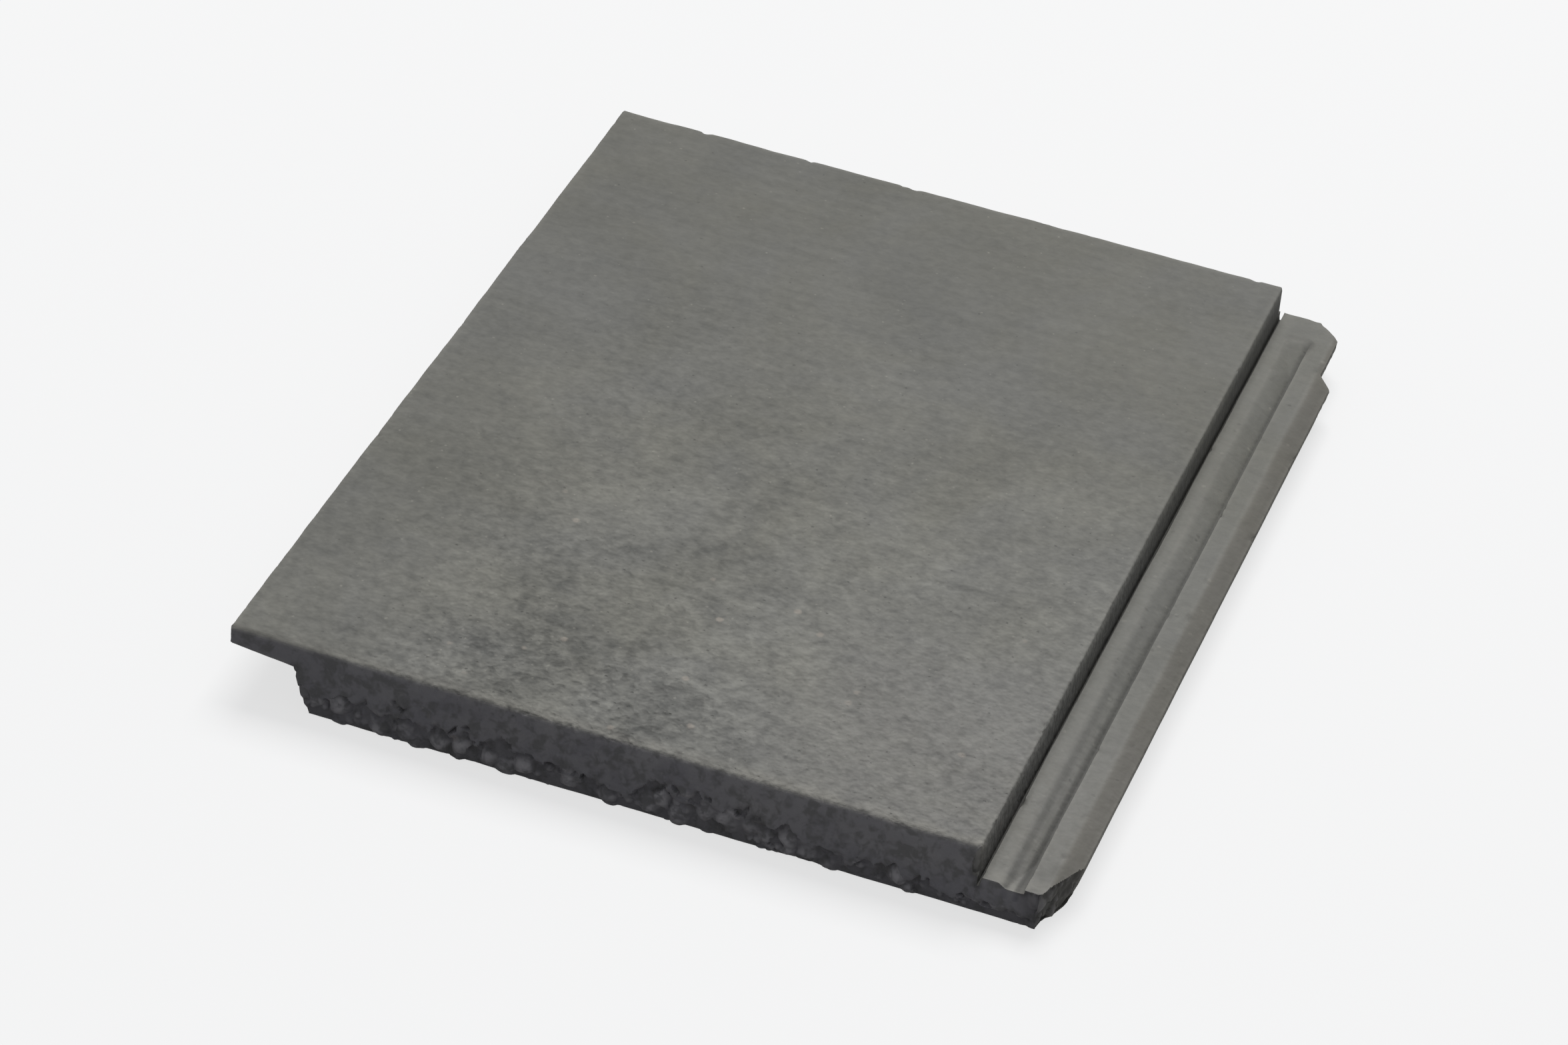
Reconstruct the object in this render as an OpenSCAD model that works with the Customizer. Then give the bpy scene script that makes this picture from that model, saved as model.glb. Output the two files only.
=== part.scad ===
// Flat interlocking concrete roof tile.
// One cast piece: a flat weather face with a thin cover lip along its left side,
// a lower shelf with two weather ribs along its right side for the next tile's lip,
// a thick nose at the tail, and nibs under the head that hook over a batten.
// X runs across the roof, +Y runs up the slope, +Z points out of the weather face.
// The origin is at the centre of the tile, on the plane that it lies on.

/* [Tile] */
// Overall length, from the foot of the tail to the head
tile_length = 420; // [360:1:480]
// Width that one laid tile covers, from joint to joint
cover_width = 300; // [220:1:360]
// Gap between the weather faces of two tiles laid side by side
joint_gap = 4; // [2:0.5:6]
// Overall thickness, from the foot of the nose to the weather face
tile_depth = 30; // [27:0.5:40]
// Thickness over the hollow of the underside
body_thickness = 15; // [12:0.5:18]

/* [Shelf on the right] */
// Width of the shelf beyond the weather face
shelf_width = 34; // [30:0.5:44]
// Drop from the weather face down to the shelf
shelf_drop = 12.5; // [11.5:0.5:14]
// How far the wall above the shelf leans out at its foot
wall_lean = 0.4; // [0:0.1:1.5]
// Width of the narrow channel at the foot of that wall
channel_width = 1.2; // [1:0.1:4]
// Depth of that channel below the shelf
channel_depth = 4; // [3:0.5:6]
// Width of the flat top of the inner rib
inner_rib_width = 6.5; // [5:0.5:11]
// Width of the slope between the inner rib and the outer rib
groove_width = 8.9; // [5:0.1:10]
// Depth of the groove at the foot of that slope
groove_depth = 5; // [3:0.5:6]
// Depth of the groove where it opens at the tail
groove_mouth = 1.5; // [0.5:0.5:3]
// Level stretch at the head where the groove has run out
groove_end = 18; // [12:1:60]
// Length over which the groove's floor rises, to that stretch and to the tail
groove_ramp = 24; // [4:1:40]
// Corner cut off the shelf at the head
head_cut = 10; // [4:0.5:14]
// Width across the tile of the corner cut off the shelf at the tail
tail_cut_width = 10; // [8:0.5:16]
// Length along the tile of that corner cut
tail_cut_length = 28; // [8:1:40]
// Length of the narrower stretch of shelf at the head
narrow_length = 38; // [24:1:70]
// How much narrower the shelf is along that stretch
narrow_step = 6; // [3:0.5:8]
// Length over which the shelf widens again
narrow_ramp = 6; // [2:0.5:16]
// Width of the bevel on top of the shelf's outer edge
bevel_width = 8; // [4:0.5:9]
// Drop of that bevel
bevel_drop = 2.5; // [1:0.5:4]
// Rounding at the foot of that bevel
shelf_round = 1.5; // [0.5:0.5:3]
// How far the shelf's outer side leans in at its foot
side_lean = 3.5; // [0:0.5:5]

/* [Lip on the left] */
// Height left free between the lip and the shelf of the tile below it
lip_clearance = 2.5; // [1.5:0.5:3]
// How much thinner the lip is at its outer edge than at its root
lip_taper = 2.5; // [0:0.5:3]
// Sideways play between a laid shelf and the body of the next tile
side_clearance = 4; // [2:0.5:6]
// Rounding of the lip's lower outer edge
lip_round = 2.5; // [1:0.5:2.5]
// How far the nose reaches under the lip at the tail
wing_reach = 7; // [3:0.5:8]

/* [Tail and edges] */
// How far the foot of the tail stands out past the weather face
tail_rake = 3; // [0:0.5:5]
// Rounding of the tail edge of the weather face
tail_round = 3.5; // [1:0.5:5]
// Rounding of the head edge and the long edges of the weather face
edge_round = 1.5; // [0.5:0.5:2.5]
// Corner cut off the weather face in plan
corner_cut = 2; // [0.5:0.5:4]

/* [Underside] */
// Width of the rib that runs along the left of the hollow
side_rib = 22; // [14:1:40]
// How far the hollow keeps back from the wall above the shelf
hollow_back = 6; // [4:1:30]
// Length of the thick nose at the tail
nose_length = 28; // [16:1:60]
// How far the hollow's walls lean
hollow_draft = 5; // [2:0.5:8]
// Depth of the seat for the batten, above the plane that the tile lies on
seat_depth = 10; // [6:0.5:11]
// Width of the batten seat up the slope
seat_length = 42; // [30:1:60]
// Level stretch between the hollow and the batten seat
bridge_length = 14; // [6:1:40]
// Width of a nib
nib_width = 52; // [30:1:80]
// Thickness of a nib up the slope
nib_length = 18; // [12:1:30]
// How much a nib tapers on each of its sides
nib_taper = 3; // [0:0.5:5]
// Distance from the edge of the body to a nib
nib_inset = 30; // [10:1:60]
// Distance from the head edge to the nibs
nib_setback = 3; // [1:0.5:20]

/* [Hidden] */

face_width = cover_width - joint_gap;
overall_width = face_width + shelf_width;
recess_width = shelf_width - joint_gap + side_clearance;
x_left = -overall_width / 2;
x_right = overall_width / 2;
x_face = x_left + face_width;
x_body = x_left + recess_width;
y_tail = -tile_length / 2;
y_head = tile_length / 2;
z_shelf = tile_depth - shelf_drop;
z_bevel = z_shelf - bevel_drop;
z_lip_root = z_shelf + lip_clearance;
z_lip_edge = z_lip_root + lip_taper;
z_hollow = tile_depth - body_thickness;
x_channel = x_face + wall_lean + channel_width;
x_slope = x_channel + inner_rib_width;
x_groove = x_slope + groove_width;
x_narrow = x_right - narrow_step;
y_nib = y_head - nib_setback - nib_length;
y_seat = y_nib - seat_length;
y_hollow_head = y_seat - bridge_length;
x_hollow_left = x_body + side_rib;
x_hollow_right = x_face - hollow_back;
// Height of the upright foot of the tail
foot_height = 3;
// Lean of the channel's and the groove's steep walls
steep_lean = 0.8;
// Chamfer in the corner under the lip's root
root_chamfer = 2;
arc_steps = 6;
// Overrun of a cutting shape past the faces that it cuts
over = 1;

// Points of an arc about (cx, cy) from angle a0 to angle a1
function arc(cx, cy, r, a0, a1) =
    [for (i = [0:arc_steps]) let (a = a0 + (a1 - a0) * i / arc_steps) [cx + r * cos(a), cy + r * sin(a)]];

// Extrudes an outline drawn in X and Z along the tile, between two places on Y
module along_tile(y0, y1) {
    translate([0, y1, 0])
        rotate([90, 0, 0])
            linear_extrude(height = y1 - y0)
                children();
}

// Extrudes an outline drawn in Y and Z across the tile, between two places on X
module across_tile(x0, x1) {
    translate([x0, 0, 0])
        rotate([90, 0, 90])
            linear_extrude(height = x1 - x0)
                children();
}

// Outline of the section across the tile: lip, weather face, wall, channel and shelf
module section_outline() {
    polygon(concat(
        [[x_body, 0], [x_right - side_lean, 0]],
        arc(x_right - shelf_round, z_bevel - shelf_round, shelf_round, 0, 90 - atan2(bevel_drop, bevel_width)),
        [[x_right - bevel_width, z_shelf],
         [x_channel, z_shelf],
         [x_channel - steep_lean, z_shelf - channel_depth],
         [x_face + wall_lean, z_shelf - channel_depth]],
        arc(x_face - edge_round, tile_depth - edge_round, edge_round, 0, 90),
        arc(x_left + edge_round, tile_depth - edge_round, edge_round, 90, 180),
        arc(x_left + lip_round, z_lip_edge + lip_round, lip_round, 180, 270),
        [[x_body - root_chamfer, z_lip_root], [x_body, z_lip_root - root_chamfer]]
    ));
}

// Outline of the tile seen from the side: raked tail, rounded tail edge, head edge
module side_outline() {
    polygon(concat(
        [[y_tail, 0], [y_head, 0]],
        arc(y_head - edge_round, tile_depth - edge_round, edge_round, 0, 90),
        arc(y_tail + tail_rake + tail_round, tile_depth - tail_round, tail_round, 90, 180),
        [[y_tail, foot_height]]
    ));
}

// Outline of the whole tile in plan, with the shelf's cut corners and its narrow stretch
module plan_outline() {
    polygon([
        [x_left + corner_cut, y_tail],
        [x_right - tail_cut_width, y_tail],
        [x_right, y_tail + tail_cut_length],
        [x_right, y_head - narrow_length - narrow_ramp],
        [x_narrow, y_head - narrow_length],
        [x_narrow, y_head - head_cut],
        [x_narrow - head_cut, y_head],
        [x_left + corner_cut, y_head],
        [x_left, y_head - corner_cut],
        [x_left, y_tail + tail_rake + corner_cut]
    ]);
}

// Space beside the narrow stretch, whose side leans in as the shelf's outer side does
module narrow_side() {
    along_tile(y_head - narrow_length, y_head + over)
        polygon([
            [x_narrow - side_lean, 0],
            [x_narrow, z_bevel - shelf_round],
            [x_narrow, z_shelf + over],
            [x_right + over, z_shelf + over],
            [x_right + over, -over],
            [x_narrow - side_lean, -over]
        ]);
}

// Sloping groove between the shelf's two ribs, whose floor rises to the tail and runs out before the head
module rib_groove() {
    y_end = y_head - groove_end;
    intersection() {
        along_tile(y_tail - over, y_end)
            polygon([
                [x_slope, z_shelf],
                [x_groove - steep_lean, z_shelf - groove_depth],
                [x_groove, z_shelf - groove_depth],
                [x_groove + steep_lean, z_shelf],
                [x_groove + steep_lean, z_shelf + over],
                [x_slope, z_shelf + over]
            ]);
        across_tile(x_slope, x_groove + steep_lean)
            polygon([
                [y_tail - over, z_shelf - groove_mouth],
                [y_tail, z_shelf - groove_mouth],
                [y_tail + groove_ramp, z_shelf - groove_depth],
                [y_end - groove_ramp, z_shelf - groove_depth],
                [y_end, z_shelf],
                [y_end, z_shelf + over],
                [y_tail - over, z_shelf + over]
            ]);
    }
}

// Plan cut that takes the sharp right-hand corners off the weather face
module face_corner(y_corner, away) {
    translate([0, 0, z_shelf])
        linear_extrude(height = shelf_drop + over)
            polygon([
                [x_face - corner_cut, y_corner],
                [x_face + wall_lean + over, y_corner - away * (corner_cut + wall_lean + over)],
                [x_face + wall_lean + over, y_corner + away * over],
                [x_face - corner_cut, y_corner + away * over]
            ]);
}

// Nose wing: closes the tail of the recess under the lip, clear of the next shelf's cut corner
module nose_wing() {
    intersection() {
        along_tile(y_tail, y_tail + wing_reach + tail_rake)
            polygon([
                [x_body - wing_reach, z_lip_edge + over],
                [x_body - wing_reach, z_lip_root],
                [x_body, 0],
                [x_body + over, 0],
                [x_body + over, z_lip_edge + over]
            ]);
        across_tile(x_left, x_body + over)
            side_outline();
        linear_extrude(height = tile_depth)
            polygon([
                [x_body - wing_reach, y_tail],
                [x_body + over, y_tail],
                [x_body + over, y_tail + wing_reach + tail_rake],
                [x_body, y_tail + wing_reach + tail_rake],
                [x_body - wing_reach, y_tail + tail_rake]
            ]);
    }
}

// Hollow in the underside, with leaning walls on all four sides
module underside_hollow() {
    intersection() {
        along_tile(y_tail, y_head)
            polygon([
                [x_hollow_left - over * hollow_draft / z_hollow, -over],
                [x_hollow_right + over * hollow_draft / z_hollow, -over],
                [x_hollow_right - hollow_draft, z_hollow],
                [x_hollow_left + hollow_draft, z_hollow]
            ]);
        across_tile(x_left, x_right)
            polygon([
                [y_tail + nose_length - over * hollow_draft / z_hollow, -over],
                [y_hollow_head + over * hollow_draft / z_hollow, -over],
                [y_hollow_head - hollow_draft, z_hollow],
                [y_tail + nose_length + hollow_draft, z_hollow]
            ]);
    }
}

// Everything below the seat's level, from the seat to the head, where the batten and nibs are
module batten_seat() {
    translate([x_left - over, y_seat, -over])
        cube([overall_width + 2 * over, y_head - y_seat + over, seat_depth + over]);
}

// One nib, tapered on three sides, with its upright face towards the batten
module nib(x_start) {
    intersection() {
        along_tile(y_nib, y_nib + nib_length)
            polygon([
                [x_start + nib_taper, 0],
                [x_start + nib_width - nib_taper, 0],
                [x_start + nib_width, seat_depth + over],
                [x_start, seat_depth + over]
            ]);
        across_tile(x_start, x_start + nib_width)
            polygon([
                [y_nib, 0],
                [y_nib + nib_length - nib_taper, 0],
                [y_nib + nib_length, seat_depth + over],
                [y_nib, seat_depth + over]
            ]);
    }
}

module roof_tile() {
    color([0.42, 0.42, 0.40]) {
        difference() {
            intersection() {
                along_tile(y_tail, y_head)
                    section_outline();
                across_tile(x_left, x_right)
                    side_outline();
                linear_extrude(height = tile_depth)
                    plan_outline();
            }
            narrow_side();
            rib_groove();
            face_corner(y_head, 1);
            face_corner(y_tail + tail_rake, -1);
            underside_hollow();
            batten_seat();
        }
        nose_wing();
        nib(x_body + nib_inset);
        nib(x_face - nib_inset - nib_width);
    }
}

roof_tile();
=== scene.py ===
"""Flat interlocking concrete roof tile: a worn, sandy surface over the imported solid, on a plain stage."""

import math

import bmesh
import bpy
import numpy as np
from bpy.props import FloatProperty, FloatVectorProperty, IntProperty, PointerProperty
from bpy.types import Node, NodeSocket, Operator, Panel, PropertyGroup
from mathutils import Matrix, Vector
from mathutils.kdtree import KDTree


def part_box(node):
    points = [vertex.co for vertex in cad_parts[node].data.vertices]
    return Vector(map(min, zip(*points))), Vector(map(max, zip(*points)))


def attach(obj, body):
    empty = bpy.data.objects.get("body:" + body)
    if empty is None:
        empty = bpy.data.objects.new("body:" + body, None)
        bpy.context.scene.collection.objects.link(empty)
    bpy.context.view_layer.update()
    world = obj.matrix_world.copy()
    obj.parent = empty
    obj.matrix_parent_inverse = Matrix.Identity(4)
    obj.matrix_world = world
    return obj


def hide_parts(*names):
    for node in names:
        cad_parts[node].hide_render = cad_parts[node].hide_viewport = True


bl_info = {
    "name": "Flat Interlocking Roof Tile",
    "version": (1, 0, 0),
    "blender": (4, 5, 0),
    "location": "View3D > Sidebar > Roof Tile",
    "description": "Builds a worn concrete roof tile over its packed solid, and a plain studio stage",
    "category": "Add Mesh",
}

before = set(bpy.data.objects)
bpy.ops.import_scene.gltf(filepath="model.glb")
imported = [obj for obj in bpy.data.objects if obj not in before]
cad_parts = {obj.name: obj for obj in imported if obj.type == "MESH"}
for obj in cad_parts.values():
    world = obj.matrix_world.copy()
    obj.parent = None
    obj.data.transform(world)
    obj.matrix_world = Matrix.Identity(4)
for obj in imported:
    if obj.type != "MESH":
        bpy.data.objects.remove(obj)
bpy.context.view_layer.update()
NODE = "roof_tile"
TILE_LOW, TILE_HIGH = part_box(NODE)

MM = 0.001
TAIL = TILE_LOW.y
WELD = 0.001 * MM

# Places on the tile, measured from its box
FACE_TAIL_Y = TAIL + 3 * MM
FACE_RIGHT_X = TILE_HIGH.x - 34 * MM
SHELF_Z = TILE_HIGH.z - 12.5 * MM
SHELF_CORNER = (TILE_HIGH.x - 5 * MM, TAIL + 12 * MM, 8 * MM)
CORNER_REACH = 21 * MM
DRAGGED_PLACE = (-36 * MM, -184 * MM, TILE_HIGH.z)

# What the wear leaves on each point, and where shade is painted, for the material to read
WEAR_AND_SHADE_MARKS = ("worn", "chipped", "broken", "lost", "corner", "tail_face", "crevice_shade")

# Mesh: its first squares, and the angles between faces up to which they are one flat face, and above
# which their edge is an arris, wears, is an inner corner, or is shaded sharp
FIRST_SQUARE = 10 * MM
FLAT_ANGLE = math.radians(0.1)
ARRIS_ANGLE = math.radians(12)
WORN_ANGLE = math.radians(11)
INNER_ANGLE = math.radians(45)
SHARP_ANGLE = math.radians(38)

# Stage
KEY_PLACE = Vector((-0.54, 4.1, 6.84))
KEY_SIZE = 4.8
FLOOR_REACH = 6.0
CAMERA_AIM = Vector((-0.0065, -0.0279, 0.015))
CAMERA_UP = Vector((-0.265, 0.513, 0.816))
FAR_CLIP = 50


def linear(hex_colour):
    """Turns an sRGB hex colour into a linear RGBA colour."""
    values = [int(hex_colour[i:i + 2], 16) / 255 for i in (1, 3, 5)]
    return [v / 12.92 if v <= 0.04045 else ((v + 0.055) / 1.055) ** 2.4 for v in values] + [1.0]


def add_node(tree, kind, inputs=None, **settings):
    """Adds a node, makes its settings, and sets or links its inputs; a node stands for its first output."""
    node = tree.nodes.new(kind)
    for name, value in settings.items():
        setattr(node, name, value)
    for key, value in (inputs or {}).items():
        if isinstance(value, Node):
            value = value.outputs[0]
        if isinstance(value, NodeSocket):
            tree.links.new(value, node.inputs[key])
        else:
            node.inputs[key].default_value = value
    return node


# --- Sizes and colours that a user would change ---


class RoofTileShape(PropertyGroup):
    fine_spacing: FloatProperty(
        name="Fine Spacing", description="Length of a mesh edge in the broken foot of the tail",
        default=0.8 * MM, unit="LENGTH")
    coarse_spacing: FloatProperty(
        name="Coarse Spacing", description="Length of a mesh edge in the middle of a wide face",
        default=4.6 * MM, unit="LENGTH")
    edge_wear: FloatProperty(
        name="Edge Wear", description="Depth to which the arrises are rubbed down",
        default=0.35 * MM, unit="LENGTH")
    wear_reach: FloatProperty(
        name="Wear Reach", description="Distance from an arris at which the wear ends",
        default=2.4 * MM, unit="LENGTH")
    chip_depth: FloatProperty(
        name="Chip Depth", description="Depth of the small chips along the arrises",
        default=0.8 * MM, unit="LENGTH")
    chip_size: FloatProperty(
        name="Chip Size", description="Usual distance from one chip to the next",
        default=11 * MM, unit="LENGTH")
    waviness: FloatProperty(
        name="Waviness", description="Height of the slow waves in the faces",
        default=0.3 * MM, unit="LENGTH")
    crumble_depth: FloatProperty(
        name="Crumble Depth", description="Depth of the broken concrete at the foot of the tail",
        default=2.7 * MM, unit="LENGTH")
    crumble_height: FloatProperty(
        name="Crumble Height", description="Usual height of the broken concrete above the foot of the tail",
        default=14 * MM, unit="LENGTH")
    lump_size: FloatProperty(
        name="Lump Size", description="Size of the lumps left in the broken concrete",
        default=8 * MM, unit="LENGTH")
    seed: IntProperty(name="Seed", description="Start of the random patterns", default=4)


class ConcreteFinish(PropertyGroup):
    damp_paste: FloatVectorProperty(
        name="Dark Paste", description="Colour of the darker patches of cement paste",
        subtype="COLOR", size=4, min=0, max=1, default=linear("#5c5c58"))
    dry_paste: FloatVectorProperty(
        name="Light Paste", description="Colour of the lighter patches of cement paste",
        subtype="COLOR", size=4, min=0, max=1, default=linear("#908f88"))
    quartz: FloatVectorProperty(
        name="Quartz Grains", description="Colour of the pale sand grains that show at the surface",
        subtype="COLOR", size=4, min=0, max=1, default=linear("#b0ada2"))
    pore: FloatVectorProperty(
        name="Pores", description="Colour inside the small open pores",
        subtype="COLOR", size=4, min=0, max=1, default=linear("#373736"))
    cut_face: FloatVectorProperty(
        name="Cut Tail", description="Colour of the dense, bluish face that the cutter leaves at the tail",
        subtype="COLOR", size=4, min=0, max=1, default=linear("#8c8993"))
    # Also painted over the tops of the lumps, partly as a painted highlight
    broken: FloatVectorProperty(
        name="Broken Concrete", description="Colour of the concrete in the crumbled foot of the tail",
        subtype="COLOR", size=4, min=0, max=1, default=linear("#c2bebf"))
    # Colour of the pale band along the tail edge, and of the rubbed arrises
    pale_band: FloatVectorProperty(
        name="Lime Bloom", description="Colour of the pale band along the tail edge of the weather face",
        subtype="COLOR", size=4, min=0, max=1, default=linear("#a3a098"))
    warm_tint: FloatVectorProperty(
        name="Warm Tint", description="Tint of the warmer patches of cement paste",
        subtype="COLOR", size=4, min=0, max=1, default=linear("#bdbcb6"))
    cool_tint: FloatVectorProperty(
        name="Cool Tint", description="Tint of the cooler patches of cement paste",
        subtype="COLOR", size=4, min=0, max=1, default=linear("#babbbf"))
    stone: FloatVectorProperty(
        name="Pale Stones", description="Colour of the few larger stones that show near the tail",
        subtype="COLOR", size=4, min=0, max=1, default=linear("#b7aca0"))
    haze: FloatVectorProperty(
        name="Lime Haze", description="Colour of the thin haze of lime over the right side of the tail",
        subtype="COLOR", size=4, min=0, max=1, default=linear("#8f8d8a"))
    bevel_stain: FloatVectorProperty(
        name="Bevel Stain", description="Colour of the brownish stain on the outer bevel of the shelf",
        subtype="COLOR", size=4, min=0, max=1, default=linear("#5b564d"))
    grain: FloatProperty(
        name="Sand Grain", description="Size of the sand grains that show",
        default=1.1 * MM, unit="LENGTH")


class StudioStage(PropertyGroup):
    camera_place: FloatVectorProperty(
        name="Camera", description="Place of the camera", subtype="XYZ", unit="LENGTH",
        default=(0.4872, -1.8184, 1.3167))
    lens: FloatProperty(
        name="Lens", description="Focal length of the camera in millimetres", default=133.0)
    key_power: FloatProperty(
        name="Key Light", description="Power of the soft light above the head of the tile",
        default=490.0, unit="POWER")
    fill: FloatProperty(
        name="Fill", description="Strength of the even light from all sides", default=0.225)


# --- Mesh of the tile ---


def divided_arrays(node, square):
    """Points, triangles and arrises of a frame node, welded, its flat faces cut into even squares."""
    shape = bmesh.new()
    shape.from_mesh(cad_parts[node].data)
    bmesh.ops.remove_doubles(shape, verts=shape.verts, dist=WELD)
    arrises = [
        (e.verts[0].co.copy(), e.verts[1].co.copy())
        for e in shape.edges if e.calc_face_angle(0) > ARRIS_ANGLE
    ]
    bmesh.ops.dissolve_limit(shape, angle_limit=FLAT_ANGLE, verts=shape.verts, edges=shape.edges)
    for axis in range(3):
        across = Vector((0, 0, 0))
        across[axis] = 1
        for place in np.arange(TILE_LOW[axis] + square, TILE_HIGH[axis], square):
            bmesh.ops.bisect_plane(
                shape, geom=[*shape.verts, *shape.edges, *shape.faces], dist=WELD,
                plane_co=across * place, plane_no=across)
    bmesh.ops.triangulate(shape, faces=shape.faces, quad_method="SHORT_EDGE", ngon_method="BEAUTY")
    shape.verts.index_update()
    points = np.array([v.co for v in shape.verts], dtype=float)
    faces = np.array([[v.index for v in f.verts] for f in shape.faces])
    shape.free()
    return points, faces, arrises


def arris_tree(arrises, step):
    """KD tree of points a step apart along the arrises, for finding how near an arris is."""
    places = []
    for start, end in arrises:
        count = max(1, math.ceil((end - start).length / step))
        places += [start.lerp(end, i / count) for i in range(count + 1)]
    tree = KDTree(len(places))
    for i, place in enumerate(places):
        tree.insert(place, i)
    tree.balance()
    return tree


def tile_spacing(middles, near, shape):
    """Wanted edge length at each place: fine beside the arrises and on the tail, coarse elsewhere."""
    distance = np.array([near.find(m)[2] for m in middles])
    x, y, z = middles.T
    on_shelf = (x > FACE_RIGHT_X - 1 * MM) & (z > SHELF_Z - 5 * MM)
    seen = (z > TILE_HIGH.z - 5 * MM) | on_shelf | (y < TAIL + 6 * MM)
    fine = np.where(seen, 2.2 * shape.fine_spacing, shape.coarse_spacing)
    coarse = np.where(seen, 1.0, 1.2) * shape.coarse_spacing
    wanted = np.clip(fine + 0.35 * (distance - 2 * MM), fine, coarse)
    on_foot = (y < TAIL + 4 * MM) & (z < 1.2 * shape.crumble_height)
    on_tail = np.where(distance < 2 * MM, 1.4, 2.2) * shape.fine_spacing
    on_tail = np.where(on_foot, shape.fine_spacing, on_tail)
    wanted = np.where(y < TAIL + 4 * MM, on_tail, wanted)
    at_corner = np.linalg.norm(middles - np.array(SHELF_CORNER), axis=1) < CORNER_REACH
    return np.where(at_corner, np.minimum(wanted, 1.1 * shape.fine_spacing), wanted)


def refine(points, faces, spacing, finest):
    """Halves long edges, each triangle's longest first, until all are as short as spacing asks."""
    while True:
        pairs = np.sort(faces[:, [[0, 1], [1, 2], [2, 0]]], axis=2)
        edges, index = np.unique(pairs.reshape(-1, 2), axis=0, return_inverse=True)
        index = index.reshape(-1, 3)
        ends = points[edges]
        length = np.linalg.norm(ends[:, 1] - ends[:, 0], axis=1)
        middle = ends.mean(axis=1)
        split = length > 1.4 * finest
        split[split] = length[split] > 1.4 * spacing(middle[split])
        if not split.any():
            return points, faces
        side = np.argmax(length[index], axis=1)
        longest = index[np.arange(len(faces)), side]
        while True:
            behind = split[index].any(axis=1) & ~split[longest]
            if not behind.any():
                break
            split[longest[behind]] = True
        halfway = np.full(len(edges), -1)
        halfway[split] = len(points) + np.arange(split.sum())
        points = np.vstack([points, middle[split]])
        # Each triangle is turned so that its longest edge comes first: a to b, with c opposite
        turn = (side[:, None] + np.arange(3)) % 3
        rows = np.arange(len(faces))[:, None]
        a, b, c = faces[rows, turn].T
        ab, bc, ca = halfway[index[rows, turn]].T
        made = [faces[ab < 0]]
        for with_bc in (False, True):
            right = (ab >= 0) & ((bc >= 0) == with_bc)
            halves = [(ab, b, bc), (ab, bc, c)] if with_bc else [(ab, b, c)]
            made += [np.stack([v[right] for v in corner], axis=1) for corner in halves]
        for with_ca in (False, True):
            left = (ab >= 0) & ((ca >= 0) == with_ca)
            halves = [(a, ab, ca), (ca, ab, c)] if with_ca else [(a, ab, c)]
            made += [np.stack([v[left] for v in corner], axis=1) for corner in halves]
        faces = np.vstack(made)


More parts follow.
